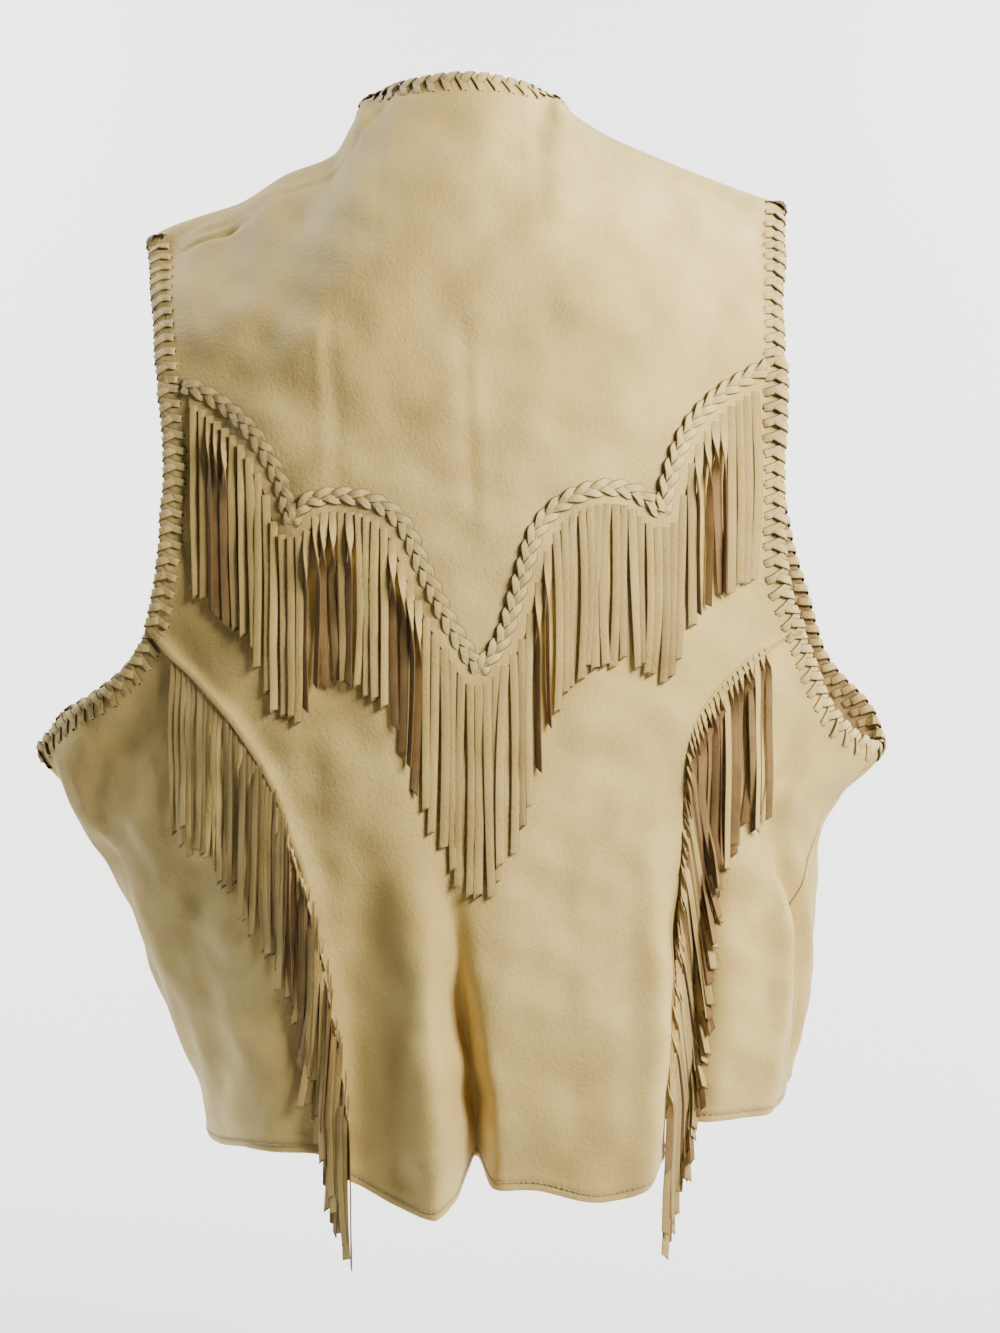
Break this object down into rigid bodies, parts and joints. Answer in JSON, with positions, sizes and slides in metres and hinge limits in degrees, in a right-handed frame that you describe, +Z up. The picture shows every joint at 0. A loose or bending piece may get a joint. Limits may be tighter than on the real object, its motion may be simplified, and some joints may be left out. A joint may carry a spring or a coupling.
{
  "type": "fringed leather vest",
  "caption": "Open-front leather vest, filled out and hollow, with a scalloped braided back yoke, long cut fringe and laced edges.",
  "frame": {"origin": "between the two shoulder tips, where the vest hangs on its wearer's shoulders", "axes": "+Z up, -Y out of the back, +X towards the wearer's right side"},
  "size_m": [0.5682, 0.2697, 0.7475],
  "materials": {
    "body_leather": "matte, soft grain",
    "lace_leather": "matte",
    "fringe_leather": "matte, brown flesh side"
  },
  "bodies": {
    "root": {"back_yoke": "body_leather", "back_center": "body_leather", "side_back_left": "body_leather", "side_back_right": "body_leather", "front_left": "body_leather", "front_right": "body_leather", "armhole_lacing_left": "lace_leather", "armhole_lacing_right": "lace_leather", "neck_lacing": "lace_leather", "front_lacing_left": "lace_leather", "front_lacing_right": "lace_leather", "yoke_braid": "lace_leather", "yoke_fringe": "fringe_leather", "seam_fringe_left": "fringe_leather", "seam_fringe_right": "fringe_leather"}
  },
  "joints": []
}
